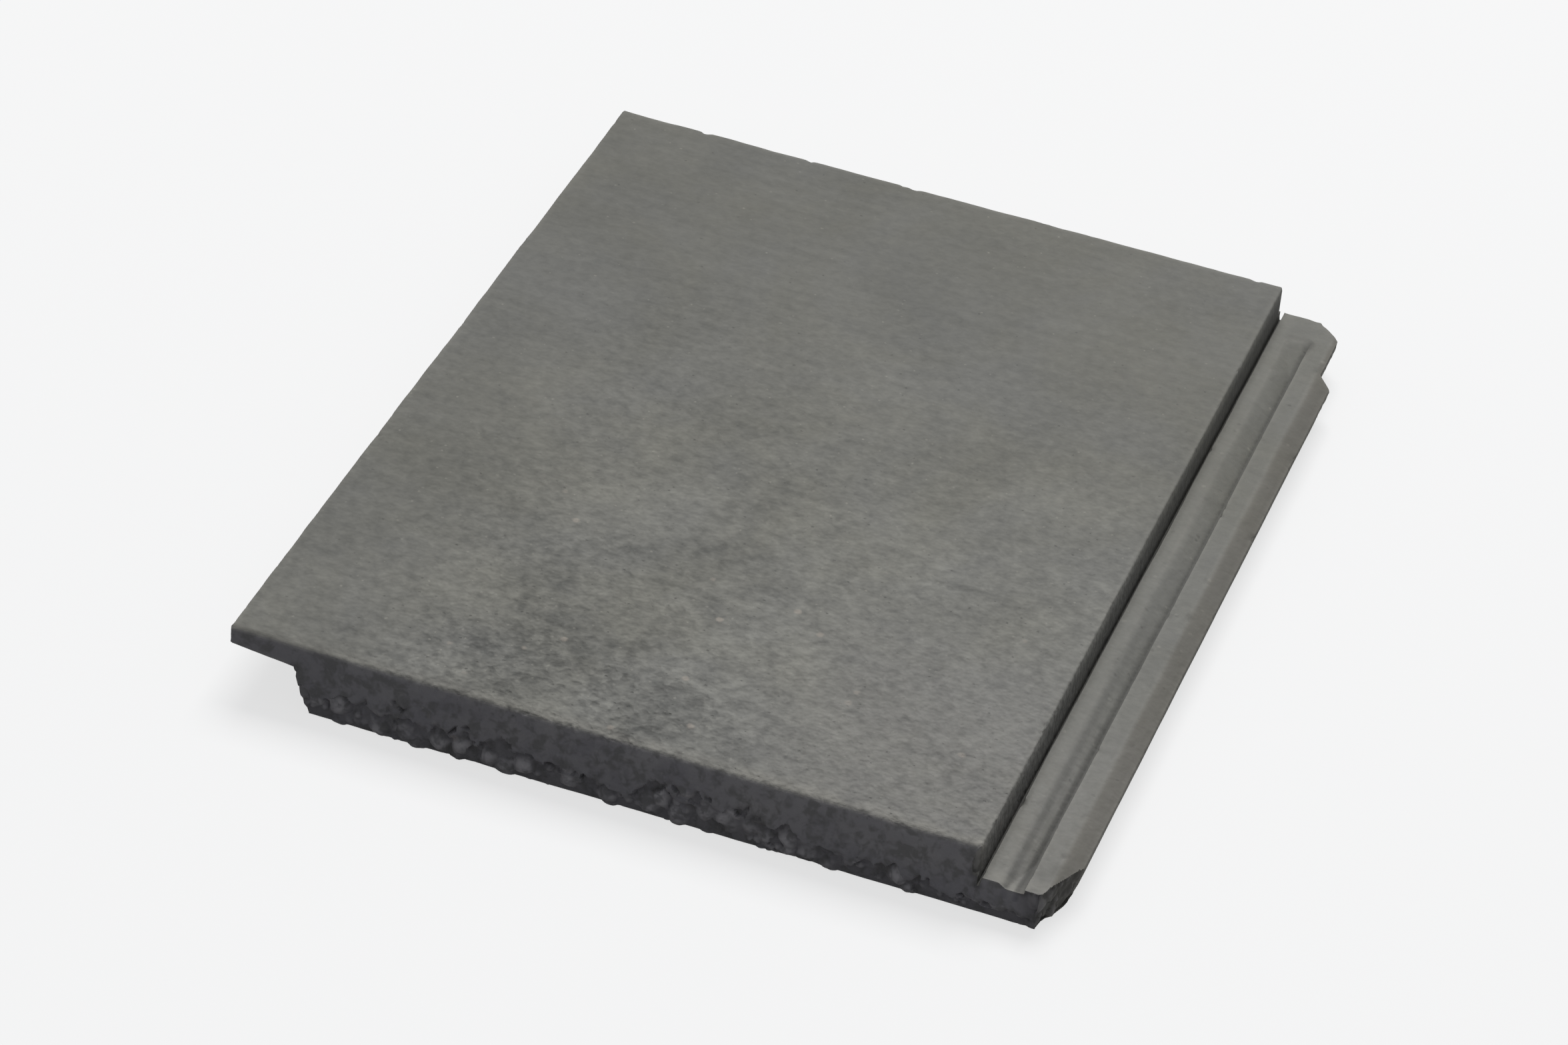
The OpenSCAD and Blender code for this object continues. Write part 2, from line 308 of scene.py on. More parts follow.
def wear_tree():
    """Geometry Nodes tree that wears, chips and crumbles a cast concrete mesh."""
    tree = bpy.data.node_groups.new("Cast Concrete Wear", "GeometryNodeTree")
    tree.interface.new_socket("Geometry", in_out="INPUT", socket_type="NodeSocketGeometry")
    for name in ("Edge Wear", "Wear Reach", "Chip Depth", "Chip Size", "Waviness",
                 "Crumble Depth", "Crumble Height", "Lump Size"):
        socket = tree.interface.new_socket(name, in_out="INPUT", socket_type="NodeSocketFloat")
        socket.subtype = "DISTANCE"
    tree.interface.new_socket("Seed", in_out="INPUT", socket_type="NodeSocketInt")
    tree.interface.new_socket("Material", in_out="INPUT", socket_type="NodeSocketMaterial")
    tree.interface.new_socket("Geometry", in_out="OUTPUT", socket_type="NodeSocketGeometry")
    given = add_node(tree, "NodeGroupInput").outputs
    place = add_node(tree, "GeometryNodeInputPosition")
    axes = add_node(tree, "ShaderNodeSeparateXYZ", {0: place}).outputs
    normal = add_node(tree, "GeometryNodeInputNormal")

    # Arrises: edges where two faces meet at an outer angle, and how near each point is to one
    angle = add_node(tree, "GeometryNodeInputMeshEdgeAngle").outputs["Signed Angle"]
    near = {}
    for name, limit, side in (("outer", WORN_ANGLE, "GREATER_THAN"), ("inner", -INNER_ANGLE, "LESS_THAN")):
        sharp = add_node(tree, "FunctionNodeCompare", {0: angle, 1: limit}, operation=side)
        lines = add_node(tree, "GeometryNodeSeparateGeometry", {
            "Geometry": given["Geometry"], "Selection": sharp}, domain="EDGE")
        near[name] = add_node(tree, "GeometryNodeProximity", {0: lines},
                              target_element="EDGES").outputs["Distance"]

    # Wear: a soft rounding of each arris, deeper in some stretches than in others
    slow = add_node(tree, "ShaderNodeTexNoise", {
        "Vector": place, "W": given["Seed"], "Scale": 38.0, "Detail": 3.0}, noise_dimensions="4D")
    worn = add_node(tree, "ShaderNodeMapRange", {
        "Value": near["outer"], "From Max": given["Wear Reach"], "To Min": 1.0, "To Max": 0.0},
        interpolation_type="SMOOTHSTEP")
    uneven = add_node(tree, "ShaderNodeMapRange", {
        "Value": slow, "From Min": 0.3, "From Max": 0.7, "To Min": 0.25, "To Max": 1.6})
    rub = add_node(tree, "ShaderNodeMath", {0: worn, 1: uneven}, operation="MULTIPLY")
    rubbed = add_node(tree, "ShaderNodeMath", {0: rub, 1: given["Edge Wear"]}, operation="MULTIPLY")

    # Chips: the peaks of a finer pattern bite deeper, close to the arris only
    per_metre = add_node(tree, "ShaderNodeMath", {0: 1.0, 1: given["Chip Size"]}, operation="DIVIDE")
    flecks = add_node(tree, "ShaderNodeTexNoise", {
        "Vector": place, "W": given["Seed"], "Scale": per_metre, "Detail": 4.0, "Roughness": 0.6},
        noise_dimensions="4D")
    bite = add_node(tree, "ShaderNodeMapRange", {
        "Value": flecks, "From Min": 0.56, "From Max": 0.74, "To Min": 0.0, "To Max": 1.0},
        interpolation_type="SMOOTHSTEP")
    bitten = add_node(tree, "ShaderNodeMath", {0: bite, 1: worn}, operation="MULTIPLY")
    chipped = add_node(tree, "ShaderNodeMath", {0: bitten, 1: given["Chip Depth"]}, operation="MULTIPLY")
    inward = add_node(tree, "ShaderNodeMath", {0: rubbed, 1: chipped}, operation="ADD")

    # Waves: the faces of a cast tile are never quite flat
    swell = add_node(tree, "ShaderNodeTexNoise", {
        "Vector": place, "W": given["Seed"], "Scale": 24.0, "Detail": 3.0, "Roughness": 0.6},
        noise_dimensions="4D")
    wave = add_node(tree, "ShaderNodeMapRange", {
        "Value": swell, "From Min": 0.2, "From Max": 0.8, "To Min": 0.0, "To Max": given["Waviness"]})
    depth = add_node(tree, "ShaderNodeMath", {0: inward, 1: wave}, operation="ADD")

    # Crumbled foot of the tail, up to a height that wanders along the tail and falls away at its right end
    along = add_node(tree, "ShaderNodeTexNoise", {
        "W": axes["X"], "Scale": 34.0, "Detail": 3.0, "Roughness": 0.6}, noise_dimensions="1D")
    reach = add_node(tree, "ShaderNodeMapRange", {
        "Value": along, "From Min": 0.35, "From Max": 0.65, "To Min": 0.55, "To Max": 1.35})
    ends = add_node(tree, "ShaderNodeMapRange", {
        "Value": axes["X"], "From Min": 92 * MM, "From Max": 128 * MM, "To Min": 1.0, "To Max": 0.45},
        interpolation_type="SMOOTHSTEP")
    tall = add_node(tree, "ShaderNodeMath", {0: reach, 1: ends}, operation="MULTIPLY")
    tall = add_node(tree, "ShaderNodeMath", {0: tall, 1: given["Crumble Height"]}, operation="MULTIPLY")
    # Lumps: domes of two sizes, of which some large ones have dropped out
    warp = add_node(tree, "ShaderNodeTexNoise", {
        "Vector": place, "W": given["Seed"], "Scale": 1 / (6 * MM), "Detail": 2.0}, noise_dimensions="4D")
    warp = add_node(tree, "ShaderNodeVectorMath", {
        0: warp.outputs["Color"], "Scale": 4.5 * MM}, operation="SCALE")
    warped = add_node(tree, "ShaderNodeVectorMath", {0: place, 1: warp}, operation="ADD")
    domes = []
    for share in (1.0, 0.45):
        scale = add_node(tree, "ShaderNodeMath", {0: 1 / share, 1: given["Lump Size"]}, operation="DIVIDE")
        cells = add_node(tree, "ShaderNodeTexVoronoi", {"Vector": warped, "Scale": scale}).outputs
        squared = add_node(tree, "ShaderNodeMath", {0: cells["Distance"], 1: 2.0}, operation="POWER")
        dome = add_node(tree, "ShaderNodeMath", {
            0: squared, 1: -2.6, 2: 1.0}, operation="MULTIPLY_ADD", use_clamp=True)
        chance = add_node(tree, "FunctionNodeSeparateColor", {0: cells["Color"]}).outputs
        domes.append((dome, chance))
    (large, large_chance), (small, small_chance) = domes
    kept = add_node(tree, "FunctionNodeCompare", {0: large_chance[0], 1: 0.25}, operation="GREATER_THAN")
    large = add_node(tree, "ShaderNodeMath", {0: large, 1: kept}, operation="MULTIPLY")
    lower = add_node(tree, "ShaderNodeMath", {0: small_chance[0], 1: 0.8}, operation="MULTIPLY")
    small = add_node(tree, "ShaderNodeMath", {0: small, 1: lower}, operation="MULTIPLY")
    lump = add_node(tree, "ShaderNodeMath", {0: large, 1: small}, operation="MAXIMUM")
    # The break climbs as high as the lump at its border does
    above = add_node(tree, "ShaderNodeMath", {0: axes["Z"], 1: tall}, operation="DIVIDE")
    above = add_node(tree, "ShaderNodeMath", {
        0: large_chance[1], 1: 0.5, 2: above}, operation="MULTIPLY_ADD")
    at_tail = add_node(tree, "ShaderNodeMapRange", {
        "Value": axes["Y"], "From Min": FACE_TAIL_Y, "From Max": TAIL + 12 * MM,
        "To Min": 1.0, "To Max": 0.0})
    low = add_node(tree, "ShaderNodeMapRange", {
        "Value": above, "From Min": 1.0, "From Max": 1.25, "To Min": 1.0, "To Max": 0.0},
        interpolation_type="SMOOTHSTEP")
    broken = add_node(tree, "ShaderNodeMath", {0: low, 1: at_tail}, operation="MULTIPLY")
    under = add_node(tree, "ShaderNodeMapRange", {
        "Value": axes["Z"], "From Min": 0.0, "From Max": 5 * MM, "To Min": 0.5, "To Max": 0.0},
        interpolation_type="SMOOTHSTEP")
    hollow = add_node(tree, "ShaderNodeMath", {0: 1.0, 1: lump}, operation="SUBTRACT")
    taken = add_node(tree, "ShaderNodeMath", {0: hollow, 1: under}, operation="ADD", use_clamp=True)
    loss = add_node(tree, "ShaderNodeMath", {0: taken, 1: broken}, operation="MULTIPLY")
    back = add_node(tree, "ShaderNodeMath", {0: loss, 1: given["Crumble Depth"]}, operation="MULTIPLY")

    # The cut corner of the shelf at the tail is broken too, straight into the face, but not its rib's top
    facing = add_node(tree, "ShaderNodeSeparateXYZ", {0: normal}).outputs
    from_corner = add_node(tree, "ShaderNodeVectorMath", {0: place, 1: SHELF_CORNER}, operation="DISTANCE")
    ragged = add_node(tree, "ShaderNodeMath", {
        0: flecks, 1: 16 * MM, 2: from_corner.outputs["Value"]}, operation="MULTIPLY_ADD")
    at_corner = add_node(tree, "ShaderNodeMapRange", {
        "Value": ragged, "From Min": CORNER_REACH, "From Max": CORNER_REACH + 6 * MM,
        "To Min": 1.0, "To Max": 0.0})
    upright = add_node(tree, "ShaderNodeMapRange", {
        "Value": facing["Z"], "From Min": 0.55, "From Max": 0.85, "To Min": 1.0, "To Max": 0.12})
    corner = add_node(tree, "ShaderNodeMath", {0: at_corner, 1: upright}, operation="MULTIPLY")
    corner_loss = add_node(tree, "ShaderNodeMath", {0: corner, 1: taken}, operation="MULTIPLY")
    deep = add_node(tree, "ShaderNodeMath", {
        0: corner_loss, 1: given["Crumble Depth"]}, operation="MULTIPLY")
    deep = add_node(tree, "ShaderNodeMath", {0: deep, 1: 0.6, 2: depth}, operation="MULTIPLY_ADD")
    soft_normal = add_node(tree, "GeometryNodeBlurAttribute", {
        "Value": normal, "Iterations": 3}, data_type="FLOAT_VECTOR")
    reverse = add_node(tree, "ShaderNodeMath", {0: deep, 1: -1.0}, operation="MULTIPLY")
    push = add_node(tree, "ShaderNodeVectorMath", {0: soft_normal, "Scale": reverse}, operation="SCALE")
    near_floor = add_node(tree, "ShaderNodeMapRange", {
        "Value": axes["Z"], "From Min": 0.0, "From Max": 6 * MM, "To Min": 0.2, "To Max": 0.0})
    up = add_node(tree, "ShaderNodeMath", {0: back, 1: near_floor}, operation="MULTIPLY")
    crumble = add_node(tree, "ShaderNodeCombineXYZ", {1: back, 2: up})

    offset = add_node(tree, "ShaderNodeVectorMath", {0: push, 1: crumble}, operation="ADD")
    broken = add_node(tree, "ShaderNodeMath", {0: broken, 1: corner}, operation="MAXIMUM")
    loss = add_node(tree, "ShaderNodeMath", {0: loss, 1: corner_loss}, operation="MAXIMUM")
    to_front = add_node(tree, "ShaderNodeMapRange", {
        "Value": facing["Y"], "From Min": -0.9, "From Max": -0.55, "To Min": 1.0, "To Max": 0.0})
    at_front = add_node(tree, "ShaderNodeMapRange", {
        "Value": axes["Y"], "From Min": FACE_TAIL_Y, "From Max": TAIL + 6 * MM,
        "To Min": 1.0, "To Max": 0.0})
    tail_face = add_node(tree, "ShaderNodeMath", {0: to_front, 1: at_front}, operation="MULTIPLY")
    # Painted shade: a few millimetres around each inner corner are marked to be painted darker
    crevice_shade = add_node(tree, "ShaderNodeMapRange", {
        "Value": near["inner"], "From Min": 0.5 * MM, "From Max": 2.8 * MM, "To Min": 1.0, "To Max": 0.0},
        interpolation_type="SMOOTHSTEP")
    # The wall beside the shelf gets as much painted shade as the inner corners, but little near its top
    wall = add_node(tree, "ShaderNodeMapRange", {
        "Value": facing["X"], "From Min": 0.6, "From Max": 0.95, "To Min": 0.0, "To Max": 1.25})
    for value, full, none, least in ((axes["X"], FACE_RIGHT_X + 2 * MM, FACE_RIGHT_X + 3 * MM, 0.0),
                                     (axes["Z"], TILE_HIGH.z - 6 * MM, TILE_HIGH.z - 2 * MM, 0.1)):
        share = add_node(tree, "ShaderNodeMapRange", {
            "Value": value, "From Min": full, "From Max": none, "To Min": 1.0, "To Max": least})
        wall = add_node(tree, "ShaderNodeMath", {0: wall, 1: share}, operation="MULTIPLY")
    crevice_shade = add_node(tree, "ShaderNodeMath", {0: crevice_shade, 1: wall}, operation="MAXIMUM")
    shape = given["Geometry"]
    for name, field in zip(WEAR_AND_SHADE_MARKS, (rub, bitten, broken, loss, corner, tail_face, crevice_shade)):
        shape = add_node(tree, "GeometryNodeStoreNamedAttribute", {
            "Geometry": shape, "Name": name, "Value": field}, data_type="FLOAT", domain="POINT")
    moved = add_node(tree, "GeometryNodeSetPosition", {"Geometry": shape, "Offset": offset})
    real = add_node(tree, "GeometryNodeRealizeInstances", {0: moved})
    dressed = add_node(tree, "GeometryNodeSetMaterial", {"Geometry": real, "Material": given["Material"]})
    add_node(tree, "NodeGroupOutput", {0: dressed})
    return tree


def wear_down(tile, shape, material):
    """Runs the wear tree on the tile and keeps its result as a plain mesh."""
    tree = wear_tree()
    modifier = tile.modifiers.new("Wear", "NODES")
    modifier.node_group = tree
    values = {
        "Edge Wear": shape.edge_wear, "Wear Reach": shape.wear_reach, "Chip Depth": shape.chip_depth,
        "Chip Size": shape.chip_size, "Waviness": shape.waviness, "Crumble Depth": shape.crumble_depth,
        "Crumble Height": shape.crumble_height, "Lump Size": shape.lump_size, "Seed": shape.seed,
        "Material": material,
    }
    for item in tree.interface.items_tree:
        if item.in_out == "INPUT" and item.name in values:
            modifier[item.identifier] = values[item.name]
    graph = bpy.context.evaluated_depsgraph_get()
    result = bpy.data.meshes.new_from_object(
        tile.evaluated_get(graph), preserve_all_data_layers=True, depsgraph=graph)
    tile.modifiers.clear()
    tile.data = result


# --- Material ---


def sanded_concrete(finish):
    """Extruded sand and cement concrete, pigmented dark grey through its body."""
    material = bpy.data.materials.new("Extruded Concrete")
    material.use_nodes = True
    tree = material.node_tree
    tree.nodes.clear()
    place = add_node(tree, "ShaderNodeTexCoord").outputs["Object"]
    axes = add_node(tree, "ShaderNodeSeparateXYZ", {0: place}).outputs
    marks = {
        name: add_node(tree, "ShaderNodeAttribute", attribute_name=name).outputs["Fac"]
        for name in WEAR_AND_SHADE_MARKS
    }

    # The rollers leave the tail half sandier and more patchy than the head, except along the lip
    tailward = add_node(tree, "ShaderNodeMapRange", {
        "Value": axes["Y"], "From Min": 130 * MM, "From Max": -190 * MM, "To Min": 0.0, "To Max": 1.0})
    from_lip = add_node(tree, "ShaderNodeMapRange", {
        "Value": axes["X"], "From Min": -150 * MM, "From Max": -70 * MM, "To Min": 0.35, "To Max": 1.0},
        interpolation_type="SMOOTHSTEP")
    on_face = add_node(tree, "ShaderNodeMapRange", {
        "Value": axes["X"], "From Min": FACE_RIGHT_X, "From Max": FACE_RIGHT_X + 1 * MM,
        "To Min": 1.0, "To Max": 0.25})
    for factor in (from_lip, on_face):
        tailward = add_node(tree, "ShaderNodeMath", {0: tailward, 1: factor}, operation="MULTIPLY")
    # Where the rollers dragged the paste, near the middle of the tail, it is torn into dark pits
    from_drag = add_node(tree, "ShaderNodeVectorMath", {0: place, 1: DRAGGED_PLACE}, operation="SUBTRACT")
    squashed = add_node(tree, "ShaderNodeVectorMath", {
        0: from_drag, 1: (1.0, 2.1, 2.1)}, operation="MULTIPLY")
    away = add_node(tree, "ShaderNodeVectorMath", {0: squashed}, operation="LENGTH").outputs["Value"]
    dragged = add_node(tree, "ShaderNodeMapRange", {
        "Value": away, "From Min": 30 * MM, "From Max": 115 * MM, "To Min": 1.0, "To Max": 0.0},
        interpolation_type="SMOOTHSTEP")

    # Cement paste dries unevenly, in soft patches some 45 mm, 14 mm and 5 mm across
    mottle = add_node(tree, "ShaderNodeTexNoise", {
        "Vector": place, "Scale": 1 / (45 * MM), "Detail": 2.0, "Roughness": 0.5})
    blotch = add_node(tree, "ShaderNodeTexNoise", {
        "Vector": place, "Scale": 1 / (14 * MM), "Detail": 2.0, "Roughness": 0.5})
    clump = add_node(tree, "ShaderNodeTexNoise", {
        "Vector": place, "Scale": 1 / (5 * MM), "Detail": 2.0, "Roughness": 0.6, "Distortion": 0.3})
    # Sand: grains of one to three millimetres, over a paste that is rough at half a millimetre
    grain = add_node(tree, "ShaderNodeTexNoise", {
        "Vector": place, "Scale": 1 / (3.4 * finish.grain), "Detail": 1.0, "Roughness": 0.6})
    grit = add_node(tree, "ShaderNodeTexNoise", {
        "Vector": place, "Scale": 1 / (1.2 * finish.grain), "Detail": 2.0, "Roughness": 0.6})
    # Faint scraping marks run across the tile, eight times as long as they are wide
    across = add_node(tree, "ShaderNodeMapping", {
        "Vector": place, "Rotation": (0, 0, math.radians(-7)), "Scale": (0.12, 1.0, 1.0)})
    scrape = add_node(tree, "ShaderNodeTexNoise", {
        "Vector": across, "Scale": 1 / (5 * MM), "Detail": 2.0, "Roughness": 0.55})

    # Tone of the paste between dark and light: each pattern weighs in more at the tail than at the head
    # The base tone is painted lighter towards the tail, a painted light that evens out the key lamp's
    # falloff from the head to the tail
    tone = add_node(tree, "ShaderNodeMapRange", {
        "Value": tailward, "From Max": 0.6, "To Min": 0.37, "To Max": 0.51})
    for field, at_head, at_tail in ((mottle, 0.36, 1.05), (blotch, 0.34, 1.30), (clump, 0.36, 1.50),
                                    (grain, 0.10, 0.50), (grit, 0.03, 0.05), (scrape, 0.28, 0.20)):
        weight = add_node(tree, "ShaderNodeMapRange", {
            "Value": tailward, "To Min": at_head, "To Max": at_tail})
        centred = add_node(tree, "ShaderNodeMath", {0: field, 1: -0.5}, operation="ADD")
        tone = add_node(tree, "ShaderNodeMath", {0: centred, 1: weight, 2: tone}, operation="MULTIPLY_ADD")
    # It is paler towards the shelf, and darker where the paste was dragged
    for field, share in ((axes["X"], 0.35), (dragged, -0.08)):
        tone = add_node(tree, "ShaderNodeMath", {0: field, 1: share, 2: tone}, operation="MULTIPLY_ADD")
    colour = add_node(tree, "ShaderNodeMix", {
        "Factor": tone, 6: finish.damp_paste, 7: finish.dry_paste}, data_type="RGBA").outputs[2]

    # Slow shifts of tint between warm and cool grey
    tint = add_node(tree, "ShaderNodeTexNoise", {
        "Vector": place, "Scale": 1 / (90 * MM), "Detail": 3.0, "Roughness": 0.6, "Distortion": 0.6})
    tint = add_node(tree, "ShaderNodeMath", {0: dragged, 1: 0.16, 2: tint}, operation="MULTIPLY_ADD")
    tint_share = add_node(tree, "ShaderNodeMapRange", {
        "Value": tint, "From Min": 0.38, "From Max": 0.66, "To Min": 0.0, "To Max": 1.0})
    wash = add_node(tree, "ShaderNodeMix", {
        "Factor": tint_share, 6: finish.warm_tint, 7: finish.cool_tint}, data_type="RGBA").outputs[2]
    colour = add_node(tree, "ShaderNodeMix", {
        "Factor": 0.5, 6: colour, 7: wash}, data_type="RGBA", blend_type="SOFT_LIGHT").outputs[2]

    # Everything that lies on the paste, each as a pattern, its share and its colour, from the lowest up
    layers = []

    # Torn pits of 2 to 4 mm
    torn = add_node(tree, "ShaderNodeTexNoise", {
        "Vector": place, "Scale": 1 / (6.5 * MM), "Detail": 2.0, "Roughness": 0.6})
    pit = add_node(tree, "ShaderNodeMapRange", {
        "Value": torn, "From Min": 0.50, "From Max": 0.32, "To Min": 0.0, "To Max": 1.0})
    torn_zone = add_node(tree, "ShaderNodeMapRange", {
        "Value": tailward, "From Min": 0.55, "From Max": 0.95, "To Min": 0.0, "To Max": 0.4})
    torn_zone = add_node(tree, "ShaderNodeMath", {0: torn_zone, 1: dragged}, operation="MAXIMUM")
    torn_pit = add_node(tree, "ShaderNodeMath", {0: pit, 1: torn_zone}, operation="MULTIPLY")
    layers.append((torn_pit, 0.42, finish.pore))

    # Pale quartz grains and open pores, both sparse
    cells = add_node(tree, "ShaderNodeTexVoronoi", {
        "Vector": place, "Scale": 1 / (2.6 * finish.grain)}).outputs
    chance = add_node(tree, "ShaderNodeSeparateColor", {0: cells["Color"]}).outputs
    size = add_node(tree, "ShaderNodeMath", {0: chance[2], 1: 0.35}, operation="ADD")
    ragged = add_node(tree, "ShaderNodeMath", {
        0: grit, 1: 0.5, 2: cells["Distance"]}, operation="MULTIPLY_ADD")
    sized = add_node(tree, "ShaderNodeMath", {0: ragged, 1: size}, operation="DIVIDE")
    spot = add_node(tree, "ShaderNodeMapRange", {
        "Value": sized, "From Min": 0.34, "From Max": 0.56, "To Min": 1.0, "To Max": 0.0})
    specks = []
    for channel, rare_at_head, rare_at_tail, share, paint in (
            (0, 0.95, 0.74, 0.33, finish.quartz), (1, 0.96, 0.76, 0.42, finish.pore)):
        rarity = add_node(tree, "ShaderNodeMapRange", {
            "Value": tailward, "To Min": rare_at_head, "To Max": rare_at_tail})
        picked = add_node(tree, "ShaderNodeMath", {0: chance[channel], 1: rarity}, operation="GREATER_THAN")
        specks.append(add_node(tree, "ShaderNodeMath", {0: picked, 1: spot}, operation="MULTIPLY"))
        layers.append((specks[-1], share, paint))
    quartz, pores = specks

    # A few stones of 2 to 4 mm lie bare where the paste was torn
    beds = add_node(tree, "ShaderNodeTexVoronoi", {"Vector": place, "Scale": 1 / (12 * MM)}).outputs
    chance = add_node(tree, "ShaderNodeSeparateColor", {0: beds["Color"]}).outputs
    reach = add_node(tree, "ShaderNodeMath", {0: chance[2], 1: 0.10, 2: 0.11}, operation="MULTIPLY_ADD")
    rim = add_node(tree, "ShaderNodeMath", {
        0: grit, 1: 0.10, 2: beds["Distance"]}, operation="MULTIPLY_ADD")
    inside = add_node(tree, "ShaderNodeMath", {0: reach, 1: rim}, operation="SUBTRACT")
    bare = add_node(tree, "ShaderNodeMapRange", {
        "Value": inside, "From Min": -0.05, "From Max": 0.03, "To Min": 0.0, "To Max": 0.42})
    rarity = add_node(tree, "ShaderNodeMapRange", {
        "Value": tailward, "From Min": 0.45, "From Max": 0.95, "To Min": 1.0, "To Max": 0.62})
    picked = add_node(tree, "ShaderNodeMath", {0: chance[0], 1: rarity}, operation="GREATER_THAN")
    stones = add_node(tree, "ShaderNodeMath", {0: bare, 1: picked}, operation="MULTIPLY")
    layers.append((stones, 1.0, finish.stone))

    # Lime haze: paler and less green, over the right-hand side of the tail
    haze = add_node(tree, "ShaderNodeMapRange", {
        "Value": axes["X"], "From Min": 5 * MM, "From Max": 80 * MM, "To Min": 0.0, "To Max": 1.0},
        interpolation_type="SMOOTHSTEP")
    low_down = add_node(tree, "ShaderNodeMapRange", {
        "Value": axes["Y"], "From Min": -60 * MM, "From Max": -150 * MM, "To Min": 0.0, "To Max": 0.4},
        interpolation_type="SMOOTHSTEP")
    patches = add_node(tree, "ShaderNodeMapRange", {
        "Value": clump, "From Min": 0.35, "From Max": 0.65, "To Min": 0.7, "To Max": 1.2})
    for factor in (low_down, patches):
        haze = add_node(tree, "ShaderNodeMath", {0: haze, 1: factor}, operation="MULTIPLY")
    layers.append((haze, 1.0, finish.haze))

    # A pale band some 5 mm wide along the tail edge of the weather face
    pale_band = add_node(tree, "ShaderNodeMapRange", {
        "Value": axes["Y"], "From Min": FACE_TAIL_Y + 2 * MM, "From Max": FACE_TAIL_Y + 9 * MM,
        "To Min": 1.0, "To Max": 0.0}, interpolation_type="SMOOTHSTEP")
    patchy = add_node(tree, "ShaderNodeMapRange", {
        "Value": blotch, "From Min": 0.3, "From Max": 0.7, "To Min": 0.1, "To Max": 0.8})
    to_right = add_node(tree, "ShaderNodeMapRange", {
        "Value": axes["X"], "From Min": -120 * MM, "From Max": 110 * MM, "To Min": 0.3, "To Max": 1.0})
    high_up = add_node(tree, "ShaderNodeMapRange", {
        "Value": axes["Z"], "From Min": SHELF_Z - 6 * MM, "From Max": SHELF_Z,
        "To Min": 0.0, "To Max": 1.0})
    for factor in (patchy, to_right, high_up):
        pale_band = add_node(tree, "ShaderNodeMath", {0: pale_band, 1: factor}, operation="MULTIPLY")
    layers.append((pale_band, 1.0, finish.pale_band))

    # The sheltered shelf has kept a slightly paler skin, and its outer bevel is stained brownish
    below_face = add_node(tree, "ShaderNodeMath", {
        0: axes["Z"], 1: SHELF_Z + 6 * MM}, operation="LESS_THAN")
    for start, end, share, overlay in (
            (FACE_RIGHT_X, FACE_RIGHT_X + 1 * MM, 0.20, finish.dry_paste),
            (TILE_HIGH.x - 8.7 * MM, TILE_HIGH.x - 7 * MM, 0.45, finish.bevel_stain)):
        outward = add_node(tree, "ShaderNodeMapRange", {
            "Value": axes["X"], "From Min": start, "From Max": end, "To Min": 0.0, "To Max": share})
        layers.append((outward, below_face, overlay))

    # The inner rib is painted paler, a painted light in place of the shade that the wall beside it casts,
    # and two dark lines between the ribs are painted shade of a small step and of the groove's steep wall;
    # both lines fade up the slope
    on_ribs = add_node(tree, "ShaderNodeMath", {0: axes["Z"], 1: SHELF_Z, 2: 6 * MM}, operation="COMPARE")
    for middle, half_width, at_tail, at_head, overlay in (
            (4.5 * MM, 4.5 * MM, 0.28, 0.28, finish.dry_paste),
            (10.7 * MM, 1.8 * MM, 0.36, 0.0, finish.pore),
            (15.2 * MM, 1.5 * MM, 0.58, 0.0, finish.pore)):
        aside = add_node(tree, "ShaderNodeMath", {
            0: axes["X"], 1: FACE_RIGHT_X + middle}, operation="SUBTRACT")
        aside = add_node(tree, "ShaderNodeMath", {0: aside}, operation="ABSOLUTE")
        share = add_node(tree, "ShaderNodeMapRange", {
            "Value": axes["Y"], "From Min": TAIL, "From Max": TAIL + 230 * MM,
            "To Min": at_tail, "To Max": at_head})
        streak = add_node(tree, "ShaderNodeMapRange", {
            "Value": aside, "From Min": 0.3 * half_width, "From Max": half_width,
            "To Min": share, "To Max": 0.0})
        layers.append((streak, on_ribs, overlay))

    # Rubbed arrises show a little more pale sand. The cut tail is denser and bluish, and marbled where the
    # blade smeared the paste. The tops of the lumps left in the broken concrete are paler: partly the paler
    # broken concrete, partly a painted highlight where their tops face up to the light
    smear = add_node(tree, "ShaderNodeMapRange", {
        "Value": clump, "From Min": 0.52, "From Max": 0.36, "To Min": 0.0, "To Max": 0.55})
    proud = add_node(tree, "ShaderNodeMath", {
        0: marks["broken"], 1: marks["lost"]}, operation="SUBTRACT", use_clamp=True)
    pale_lump_and_highlight = add_node(tree, "ShaderNodeMapRange", {
        "Value": proud, "From Min": 0.2, "From Max": 0.8, "To Min": 0.0, "To Max": 1.0})
    break_tone = add_node(tree, "ShaderNodeMapRange", {
        "Value": clump, "From Min": 0.42, "From Max": 0.58, "To Min": 0.1, "To Max": 0.65})
    layers += [(marks["worn"], 0.14, finish.pale_band), (marks["tail_face"], 0.5, finish.cut_face),
               (smear, marks["tail_face"], finish.damp_paste), (pale_lump_and_highlight, break_tone, finish.broken)]
    # Painted shade darkens the inner corners, the wall beside the shelf, the holes between the lumps and
    # the broken corner of the shelf; the chips are darkened too
    layers += [(marks[name], share, finish.pore) for name, share in (
        ("crevice_shade", 0.5), ("lost", 0.25), ("chipped", 0.3), ("corner", 0.45))]

    for field, share, paint in layers:
        factor = add_node(tree, "ShaderNodeMath", {0: field, 1: share}, operation="MULTIPLY")
        colour = add_node(tree, "ShaderNodeMix", {
            "Factor": factor, 6: colour, 7: paint}, data_type="RGBA").outputs[2]

